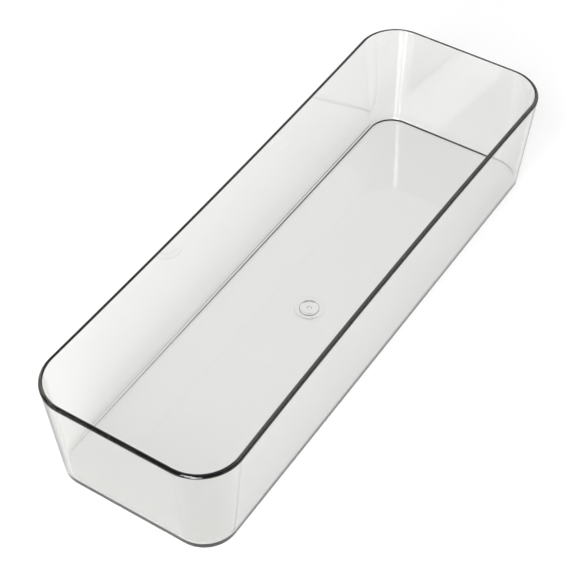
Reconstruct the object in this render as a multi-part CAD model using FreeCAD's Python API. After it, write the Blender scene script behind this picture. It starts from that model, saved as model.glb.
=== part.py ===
"""Clear drawer organizer tray, moulded in one piece, in millimetres.

A long open box for pens and other small things. It stands on its flat floor, with X along its
length, Y across it and Z up. The origin is the middle of the underside.

The four walls lean outwards by the same draft, so each level of the tray is the same rounded
rectangle, a little larger than the one below. The inside leans a little more than the outside, so
the walls are thickest at the floor. The long walls are straight at the floor and bow inwards
towards the rim, as long thin moulded walls do when they cool. A round gate well near the middle
of the floor keeps the stub of the gate clear of the surface that the tray stands on.
"""

import FreeCAD
import Part
import math
import os

# Size over the rim
RIM_LENGTH = 305.0
RIM_WIDTH = 101.2
HEIGHT = 58.4

# Outer shape
RIM_CORNER_RADIUS = 21.3
DRAFT_INSET = 5.4  # how much further in the outside stands at the underside than at the rim
RIM_BOW = 1.4  # how far the long sides bow inwards at mid-length of the rim

# Thickness and rounded edges
WALL_AT_RIM = 2.1
WALL_AT_FLOOR = 2.6
FLOOR = 1.5
UNDERSIDE_EDGE_RADIUS = 1.3
FLOOR_FILLET_RADIUS = 2.6
RIM_OUTER_EDGE_RADIUS = 1.3
RIM_INNER_EDGE_RADIUS = 0.3

# The gate's mark: round sloping steps on both faces of the floor, from the outside in. Each has
# the radius of its foot, its rise, the width of its slope and the radius of its two edges.
GATE_PLACE = (-1.8, -1.2)  # a little off the middle of the floor
TOP_STEPS = (
    (7.9, 0.5, 0.8, 0.5),  # a low pad
    (4.9, 0.5, 0.8, 0.6),  # a smaller pad on it
)
UNDERSIDE_STEPS = (
    (4.9, 0.9, 0.3, 0.3),  # the gate well
    (1.2, -0.5, 0.2, 0.1),  # the stub of the gate in the well
)

LEVEL_TOLERANCE = 1e-4
PARTS_FOLDER = "parts"


def point(x, y, z):
    return FreeCAD.Vector(x, y, z)


def corner_arc(centre_x, centre_y, radius, z, first_angle, last_angle):
    """One rounded corner of an outline, clockwise from above, with its angles in degrees."""
    places = []
    for angle in (first_angle, (first_angle + last_angle) / 2, last_angle):
        turn = math.radians(angle)
        places.append(point(centre_x + radius * math.cos(turn), centre_y + radius * math.sin(turn), z))
    return Part.Arc(*places).toShape()


def outline(z, inset=0.0):
    """The tray's rounded rectangle at height z, moved inwards by inset, as a closed wire.

    The bowed side is a long arc of which the middle lies outside the tray. It is tangent to the
    corner arcs, so each corner turns through a little more than a right angle.
    """
    rise = z / HEIGHT
    growth = DRAFT_INSET * (rise - 1.0) - inset
    half_length = RIM_LENGTH / 2 + growth
    half_width = RIM_WIDTH / 2 + growth
    radius = RIM_CORNER_RADIUS + growth
    bow = RIM_BOW * rise
    corner_x = half_length - radius
    corner_y = half_width - radius

    extra_turn = math.degrees(math.asin(2 * bow * corner_x / (corner_x**2 + bow**2)))
    tangent_x = corner_x - radius * math.sin(math.radians(extra_turn))
    tangent_y = corner_y + radius * math.cos(math.radians(extra_turn))

    edges = []
    for side in (1, -1):
        ends = (-tangent_x * side, tangent_x * side)
        start = point(ends[0], tangent_y * side, z)
        finish = point(ends[1], tangent_y * side, z)
        middle = point(0, (half_width - bow) * side, z)
        if bow > 0:
            edges.append(Part.Arc(start, middle, finish).toShape())
        else:
            edges.append(Part.LineSegment(start, finish).toShape())
        heading = 90.0 if side > 0 else 270.0
        centre = (corner_x * side, corner_y * side)
        edges.append(corner_arc(*centre, radius, z, heading + extra_turn, heading - 90.0))
        end_top = point(half_length * side, corner_y * side, z)
        end_bottom = point(half_length * side, -corner_y * side, z)
        edges.append(Part.LineSegment(end_top, end_bottom).toShape())
        centre = (corner_x * side, -corner_y * side)
        edges.append(corner_arc(*centre, radius, z, heading - 90.0, heading - 180.0 - extra_turn))
    return Part.Wire(edges)


def is_level(shape, z):
    """Whether an edge or a face lies flat at height z."""
    box = shape.BoundBox
    return abs(box.ZMin - z) < LEVEL_TOLERANCE and abs(box.ZMax - z) < LEVEL_TOLERANCE


def edges_at(shape, z):
    return [edge for edge in shape.Edges if is_level(edge, z)]


def outer_block():
    block = Part.makeLoft([outline(0.0), outline(HEIGHT)], True, True)
    return block.makeFillet(UNDERSIDE_EDGE_RADIUS, edges_at(block, 0.0))


def cavity():
    """The space that the tray holds things in, with the fillet where its walls meet its floor."""
    space = Part.makeLoft([outline(FLOOR, WALL_AT_FLOOR), outline(HEIGHT, WALL_AT_RIM)], True, True)
    return space.makeFillet(FLOOR_FILLET_RADIUS, edges_at(space, FLOOR))


def rim_edges(body, outer):
    """The edges of the flat top of the rim, either along its outside or along its inside."""
    top = next(face for face in body.Faces if is_level(face, HEIGHT))
    return [edge for wire in top.Wires if wire.isSame(top.OuterWire) == outer for edge in wire.Edges]


def shell():
    body = outer_block().cut(cavity())
    body = body.makeFillet(RIM_OUTER_EDGE_RADIUS, rim_edges(body, outer=True))
    return body.makeFillet(RIM_INNER_EDGE_RADIUS, rim_edges(body, outer=False))


def circles(body, radius, z):
    """The round edges of this radius that lie level at height z."""
    found = []
    for edge in edges_at(body, z):
        curve = edge.Curve
        if isinstance(curve, Part.Circle) and abs(curve.Radius - radius) < LEVEL_TOLERANCE:
            found.append(edge)
    return found


def stepped_disc(body, base, steps, material_above):
    """The body with round steps on one face of its floor, which add material or take it away."""
    level = base
    for radius, rise, slope, _ in steps:
        foot = point(*GATE_PLACE, level)
        way = point(0, 0, math.copysign(1, rise))
        cone = Part.makeCone(radius, radius - slope, abs(rise), foot, way)
        body = body.cut(cone) if (rise > 0) == material_above else body.fuse(cone)
        level += rise
    body = body.removeSplitter()
    level = base
    for radius, rise, slope, edge_radius in steps:
        foot = circles(body, radius, level)
        level += rise
        body = body.makeFillet(edge_radius, foot + circles(body, radius - slope, level))
    return body


def tray():
    body = stepped_disc(shell(), FLOOR, TOP_STEPS, material_above=False)
    return stepped_disc(body, 0.0, UNDERSIDE_STEPS, material_above=True)


def main():
    os.makedirs(PARTS_FOLDER, exist_ok=True)
    body = tray()
    solid = body.Solids[0]
    box = solid.optimalBoundingBox()
    print(f"tray: {len(body.Solids)} solid, valid {body.isValid()}, volume {solid.Volume / 1000:.1f} cm3")
    print(f"size {box.XLength:.2f} x {box.YLength:.2f} x {box.ZLength:.2f} mm, lowest {box.ZMin:.3f}")
    solid.exportStep(os.path.join(PARTS_FOLDER, "tray.step"))


main()
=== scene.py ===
"""Looks for the clear drawer tray: its moulded shell, a white studio floor, soft lights and a camera."""

import math

import bpy
from mathutils import Matrix, Vector


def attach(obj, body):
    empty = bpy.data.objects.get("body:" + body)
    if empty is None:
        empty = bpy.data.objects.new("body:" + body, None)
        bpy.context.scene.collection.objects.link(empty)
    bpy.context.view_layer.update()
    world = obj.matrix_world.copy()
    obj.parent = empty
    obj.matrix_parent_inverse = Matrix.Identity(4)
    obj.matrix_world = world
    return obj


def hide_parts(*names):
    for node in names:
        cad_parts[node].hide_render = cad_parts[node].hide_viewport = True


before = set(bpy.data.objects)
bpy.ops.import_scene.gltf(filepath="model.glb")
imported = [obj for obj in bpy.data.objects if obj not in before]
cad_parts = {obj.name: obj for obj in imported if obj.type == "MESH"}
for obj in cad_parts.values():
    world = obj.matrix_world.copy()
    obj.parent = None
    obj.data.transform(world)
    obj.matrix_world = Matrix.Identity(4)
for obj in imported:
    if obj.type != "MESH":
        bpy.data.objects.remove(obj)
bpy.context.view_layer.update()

# The tray, in metres. The same sizes as in the CAD model, so that this shell has its shape.
RIM_LENGTH = 0.305
RIM_WIDTH = 0.1012
HEIGHT = 0.0584
RIM_CORNER_RADIUS = 0.0213
DRAFT_INSET = 0.0054
RIM_BOW = 0.0014
WALL_AT_RIM = 0.0021
WALL_AT_FLOOR = 0.0026
FLOOR = 0.0015
UNDERSIDE_EDGE_RADIUS = 0.0013
FLOOR_FILLET_RADIUS = 0.0026
RIM_OUTER_EDGE_RADIUS = 0.0013
RIM_INNER_EDGE_RADIUS = 0.0003

GATE_PLACE = (-0.0018, -0.0012)  # the gate's mark is a little off the middle of the floor
# The gate's round steps, from the outside in: radius of the foot, rise, width of the slope, edge radius
TOP_STEPS = ((0.0079, 0.0005, 0.0008, 0.0005), (0.0049, 0.0005, 0.0008, 0.0006))
UNDERSIDE_STEPS = ((0.0049, 0.0009, 0.0003, 0.0003), (0.0012, -0.0005, 0.0002, 0.0001))

# How finely the shell is divided
LONG_SIDE_STEPS = 48
SHORT_SIDE_STEPS = 16
CORNER_STEPS = 28
FILLET_STEPS = 8
WALL_STEPS = 14
SUPPORT_GAP = 0.0002  # flat rings this far from a rounded edge keep its shading off the flat face
FLAT_REACH = 0.03  # how far in the points on the floor's two flat faces lie; only their direction counts


# --- The shell's shape --------------------------------------------------------------------------


def ring_outline(offset, z):
    """Points round the tray at height z, on the rounded rectangle offset outwards from the rim's."""
    bow = RIM_BOW * z / HEIGHT
    half_length = RIM_LENGTH / 2 + offset
    half_width = RIM_WIDTH / 2 + offset
    radius = RIM_CORNER_RADIUS + offset
    corner_x = half_length - radius
    corner_y = half_width - radius
    extra_turn = math.asin(2 * bow * corner_x / (corner_x**2 + bow**2))
    corner_turn = math.pi / 2 + extra_turn
    tangent_x = corner_x - radius * math.sin(extra_turn)
    tangent_y = corner_y + radius * math.cos(extra_turn)

    half = []
    for step in range(LONG_SIDE_STEPS):
        x = tangent_x * (2 * step / LONG_SIDE_STEPS - 1)
        y = tangent_y
        if bow > 0:
            arc_radius = tangent_x / math.sin(extra_turn)
            y -= math.sqrt(arc_radius**2 - x**2) - math.sqrt(arc_radius**2 - tangent_x**2)
        half.append((x, y))
    for step in range(CORNER_STEPS):
        turn = corner_turn - corner_turn * step / CORNER_STEPS
        half.append((corner_x + radius * math.cos(turn), corner_y + radius * math.sin(turn)))
    for step in range(SHORT_SIDE_STEPS):
        half.append((half_length, corner_y * (1 - 2 * step / SHORT_SIDE_STEPS)))
    for step in range(CORNER_STEPS):
        turn = -corner_turn * step / CORNER_STEPS
        half.append((corner_x + radius * math.cos(turn), -corner_y + radius * math.sin(turn)))
    return [(x, y, z) for x, y in half] + [(-x, -y, z) for x, y in half]


def ring_circle(radius, z):
    """As many points as ring_outline gives, in the same order, on a circle about the gate."""
    points = []
    for x, y, _ in ring_outline(-DRAFT_INSET, 0.0):
        direction = Vector((x / RIM_LENGTH, y / RIM_WIDTH)).normalized() * radius
        points.append((GATE_PLACE[0] + direction.x, GATE_PLACE[1] + direction.y, z))
    return points


def rounded(before, corner, after, radius):
    """Points of the arc that rounds a corner of a flat profile, with a support point at each end."""
    before, corner, after = Vector(before), Vector(corner), Vector(after)
    inward = (before - corner).normalized()
    outward = (after - corner).normalized()
    half_angle = inward.angle(outward) / 2
    reach = radius / math.tan(half_angle)
    centre = corner + (inward + outward).normalized() * (radius / math.sin(half_angle))
    start = corner + inward * reach - centre
    finish = corner + outward * reach - centre
    total = start.angle(finish)
    points = [corner + inward * (reach + SUPPORT_GAP)]
    for step in range(FILLET_STEPS + 1):
        share = step / FILLET_STEPS
        arm = start * math.sin((1 - share) * total) + finish * math.sin(share * total)
        points.append(centre + arm / math.sin(total))
    points.append(corner + outward * (reach + SUPPORT_GAP))
    return points


def between(start, finish, steps):
    """Evenly spaced points strictly between two points."""
    return [start.lerp(finish, step / steps) for step in range(1, steps)]


def wall_profile():
    """The section through floor edge, wall and rim, as (offset from the rim's outline, height)."""
    underside = (-FLAT_REACH, 0.0)
    foot = (-DRAFT_INSET, 0.0)
    rim_outside = (0.0, HEIGHT)
    rim_inside = (-WALL_AT_RIM, HEIGHT)
    floor_corner = (DRAFT_INSET * (FLOOR / HEIGHT - 1) - WALL_AT_FLOOR, FLOOR)
    floor_inside = (-FLAT_REACH, FLOOR)

    base_edge = rounded(underside, foot, rim_outside, UNDERSIDE_EDGE_RADIUS)
    outer_rim = rounded(foot, rim_outside, rim_inside, RIM_OUTER_EDGE_RADIUS)
    inner_rim = rounded(rim_outside, rim_inside, floor_corner, RIM_INNER_EDGE_RADIUS)
    floor_fillet = rounded(rim_inside, floor_corner, floor_inside, FLOOR_FILLET_RADIUS)
    outer_wall = between(base_edge[-1], outer_rim[0], WALL_STEPS)
    inner_wall = between(inner_rim[-1], floor_fillet[0], WALL_STEPS)
    return base_edge + outer_wall + outer_rim + inner_rim + inner_wall + floor_fillet


def stepped_disc(base, steps):
    """Rings of round sloping steps in the floor, from the outside inwards, with their edges rounded."""
    profile = []
    for radius, rise, slope, edge_radius in steps:
        top = base + rise
        outside = (radius + slope, base)
        foot = (radius, base)
        edge = (radius - slope, top)
        middle = (0.0, top)
        profile += rounded(outside, foot, edge, edge_radius)
        profile += rounded(foot, edge, middle, edge_radius)
        base = top
    return [ring_circle(place.x, place.y) for place in profile]


def shell_rings():
    """All rings of the shell in order: under the floor from the middle out, up, over and back in."""
    wall = [ring_outline(place.x, place.y) for place in wall_profile()]
    return stepped_disc(0.0, UNDERSIDE_STEPS)[::-1] + wall + stepped_disc(FLOOR, TOP_STEPS)


def build_shell():
    rings = shell_rings()
    count = len(rings[0])
    vertices = [point for ring in rings for point in ring]
    underside_middle = len(vertices)
    floor_middle = underside_middle + 1
    vertices.append((*GATE_PLACE, rings[0][0][2]))
    vertices.append((*GATE_PLACE, rings[-1][0][2]))
    last_ring = (len(rings) - 1) * count
    faces = []
    for step in range(count):
        following = (step + 1) % count
        faces.append((underside_middle, step, following))
        faces.append((floor_middle, last_ring + following, last_ring + step))
        for ring in range(len(rings) - 1):
            low = ring * count
            high = low + count
            faces.append((low + step, high + step, high + following, low + following))
    mesh = bpy.data.meshes.new("tray_shell")
    mesh.from_pydata(vertices, [], faces)
    mesh.validate()
    mesh.polygons.foreach_set("use_smooth", [True] * len(mesh.polygons))
    shell = bpy.data.objects.new("tray_shell", mesh)
    bpy.context.scene.collection.objects.link(shell)
    return shell


# --- Materials ----------------------------------------------------------------------------------


PLASTIC_INDEX = 1.58
PLASTIC_TINT = (0.925, 0.926, 0.914, 1.0)
ABSORPTION_COLOR = (0.62, 0.64, 0.60, 1.0)
ABSORPTION_DENSITY = 65.0
HAZE_SCALE = 28.0  # about one soft patch of haze every 36 mm
HAZE_DETAIL = 4.0
HAZE_RANGE = (0.35, 0.75)  # the noise values between which the roughness changes
HAZE_ROUGHNESS = (0.012, 0.05)
FLOOR_ROUGHNESS = 0.9


def clear_plastic():
    """Clear polystyrene: glossy, slightly grey through its thickness, with soft patches of faint haze."""
    material = bpy.data.materials.new("clear_polystyrene")
    material.use_nodes = True
    nodes = material.node_tree.nodes
    links = material.node_tree.links
    shader = nodes["Principled BSDF"]
    shader.inputs["Base Color"].default_value = PLASTIC_TINT
    shader.inputs["Transmission Weight"].default_value = 1.0
    shader.inputs["IOR"].default_value = PLASTIC_INDEX

    place = nodes.new("ShaderNodeTexCoord")
    haze = nodes.new("ShaderNodeTexNoise")
    haze.inputs["Scale"].default_value = HAZE_SCALE
    haze.inputs["Detail"].default_value = HAZE_DETAIL
    links.new(place.outputs["Object"], haze.inputs["Vector"])
    haze_range = nodes.new("ShaderNodeMapRange")
    haze_range.inputs["From Min"].default_value = HAZE_RANGE[0]
    haze_range.inputs["From Max"].default_value = HAZE_RANGE[1]
    haze_range.inputs["To Min"].default_value = HAZE_ROUGHNESS[0]
    haze_range.inputs["To Max"].default_value = HAZE_ROUGHNESS[1]
    links.new(haze.outputs["Fac"], haze_range.inputs["Value"])
    links.new(haze_range.outputs["Result"], shader.inputs["Roughness"])

    absorption = nodes.new("ShaderNodeVolumeAbsorption")
    absorption.inputs["Color"].default_value = ABSORPTION_COLOR
    absorption.inputs["Density"].default_value = ABSORPTION_DENSITY
    links.new(absorption.outputs["Volume"], nodes["Material Output"].inputs["Volume"])
    return material


def studio_white():
    """The floor: matt, and glowing white like a light table, so the tray casts next to no shadow."""
    material = bpy.data.materials.new("studio_white")
    material.use_nodes = True
    shader = material.node_tree.nodes["Principled BSDF"]
    shader.inputs["Base Color"].default_value = (FLOOR_ALBEDO, FLOOR_ALBEDO, FLOOR_ALBEDO, 1.0)
    shader.inputs["Roughness"].default_value = FLOOR_ROUGHNESS
    shader.inputs["Specular IOR Level"].default_value = 0.0
    shader.inputs["Emission Color"].default_value = (1.0, 1.0, 1.0, 1.0)
    shader.inputs["Emission Strength"].default_value = FLOOR_GLOW
    return material


# --- Studio -------------------------------------------------------------------------------------


FLOOR_GAP = 0.0001  # the tray's underside lies this far over the floor, so there is air between them
STUDIO_FLOOR_SIZE = 4.0
FLOOR_ALBEDO = 0.35
FLOOR_GLOW = 0.69
HORIZON_RADIANCE = 0.8
CEILING_RADIANCE = 0.18
HORIZON_BAND = (8.0, 24.0)  # degrees over which the horizon's light fades into the ceiling's
# Azimuth and elevation, the angles from there at which the glow starts to fade and ends, radiance
WALL_GLOWS = (
    (-35.0, 48.0, 5.0, 35.0, 0.8),
    (5.0, 42.0, 15.0, 50.0, 0.6),
)
SOFTBOX_DISTANCE = 1.5
# Name, azimuth and elevation in degrees, width and height in metres, radiance
SOFTBOXES = (
    ("window_strip", -177.0, 42.0, 0.26, 1.0, 18.0),
    ("window_panel", -160.0, 34.0, 0.32, 0.8, 11.0),
    ("left_softbox", 135.0, 36.0, 0.6, 0.45, 2.1),
    ("low_panel", -160.0, 6.0, 0.8, 0.3, 25.0),
)

# The camera: beyond the -X end and the -Y side, looking down along the tray. Angles are in degrees,
# the lens and its sensor in millimetres, the rest in metres.
CAMERA_LENS = 99.01
CAMERA_SENSOR = 36.0
CAMERA_CLIP_START = 0.01
CAMERA_AIM = (0.0051, 0.0157, 0.0)
CAMERA_DISTANCE = 0.7918
CAMERA_AZIMUTH = -146.89  # of the camera, seen from its aim, counted from +X
CAMERA_ELEVATION = 46.77
CAMERA_ROLL = -0.28


def build_floor():
    half = STUDIO_FLOOR_SIZE / 2
    mesh = bpy.data.meshes.new("studio_floor")
    corners = [(-half, -half, 0.0), (half, -half, 0.0), (half, half, 0.0), (-half, half, 0.0)]
    mesh.from_pydata(corners, [], [(0, 1, 2, 3)])
    mesh.materials.append(studio_white())
    floor = bpy.data.objects.new("studio_floor", mesh)
    floor.location.z = -FLOOR_GAP
    bpy.context.scene.collection.objects.link(floor)


def direction_to(azimuth, elevation):
    """The unit vector that points this way, angles in degrees and azimuth counted from +X."""
    around = math.radians(azimuth)
    rise = math.radians(elevation)
    return Vector((math.cos(around) * math.cos(rise), math.sin(around) * math.cos(rise), math.sin(rise)))


def add_softbox(name, azimuth, elevation, width, height, radiance):
    """A rectangular area light that faces the tray from a direction, in degrees, azimuth from +X."""
    outward = direction_to(azimuth, elevation)
    light = bpy.data.lights.new(name, "AREA")
    light.shape = "RECTANGLE"
    light.size = width
    light.size_y = height
    light.energy = radiance * math.pi * width * height
    softbox = bpy.data.objects.new(name, light)
    softbox.location = outward * SOFTBOX_DISTANCE
    softbox.rotation_euler = (-outward).to_track_quat("-Z", "Y").to_euler()
    softbox.visible_camera = False
    bpy.context.scene.collection.objects.link(softbox)


def set_world():
    """Pale round the horizon, dark overhead like a studio ceiling, with large soft glows between."""
    world = bpy.data.worlds.new("studio")
    world.use_nodes = True
    nodes = world.node_tree.nodes
    links = world.node_tree.links
    look = nodes.new("ShaderNodeTexCoord").outputs["Generated"]

    def fade(value, start, finish, before, after):
        ramp = nodes.new("ShaderNodeMapRange")
        ramp.interpolation_type = "SMOOTHSTEP"
        for socket, number in zip(ramp.inputs[1:5], (start, finish, before, after)):
            socket.default_value = number
        links.new(value, ramp.inputs["Value"])
        return ramp.outputs["Result"]

    parts = nodes.new("ShaderNodeSeparateXYZ")
    links.new(look, parts.inputs["Vector"])
    band = [math.sin(math.radians(angle)) for angle in HORIZON_BAND]
    total = fade(parts.outputs["Z"], *band, HORIZON_RADIANCE, CEILING_RADIANCE)
    for azimuth, elevation, inner, outer, radiance in WALL_GLOWS:
        towards = nodes.new("ShaderNodeVectorMath")
        towards.operation = "DOT_PRODUCT"
        towards.inputs[1].default_value = direction_to(azimuth, elevation)
        links.new(look, towards.inputs[0])
        edge = [math.cos(math.radians(angle)) for angle in (outer, inner)]
        glow = fade(towards.outputs["Value"], *edge, 0.0, radiance)
        add = nodes.new("ShaderNodeMath")
        links.new(total, add.inputs[0])
        links.new(glow, add.inputs[1])
        total = add.outputs["Value"]
    links.new(total, nodes["Background"].inputs["Strength"])
    nodes["Background"].inputs["Color"].default_value = (1.0, 1.0, 1.0, 1.0)
    bpy.context.scene.world = world


def add_camera():
    camera_data = bpy.data.cameras.new("camera")
    camera_data.lens = CAMERA_LENS
    camera_data.sensor_width = CAMERA_SENSOR
    camera_data.clip_start = CAMERA_CLIP_START
    camera = bpy.data.objects.new("camera", camera_data)
    outward = direction_to(CAMERA_AZIMUTH, CAMERA_ELEVATION)
    turn = (-outward).to_track_quat("-Z", "Y").to_matrix().to_4x4()
    roll = Matrix.Rotation(math.radians(CAMERA_ROLL), 4, "Z")
    place = Vector(CAMERA_AIM) + outward * CAMERA_DISTANCE
    camera.matrix_world = Matrix.Translation(place) @ turn @ roll
    bpy.context.scene.collection.objects.link(camera)
    bpy.context.scene.camera = camera


# --- The scene ----------------------------------------------------------------------------------

shell = build_shell()
shell.data.materials.append(clear_plastic())
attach(shell, "root")
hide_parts("tray")

build_floor()
set_world()
for softbox in SOFTBOXES:
    add_softbox(*softbox)
add_camera()
bpy.context.scene.view_settings.view_transform = "Standard"
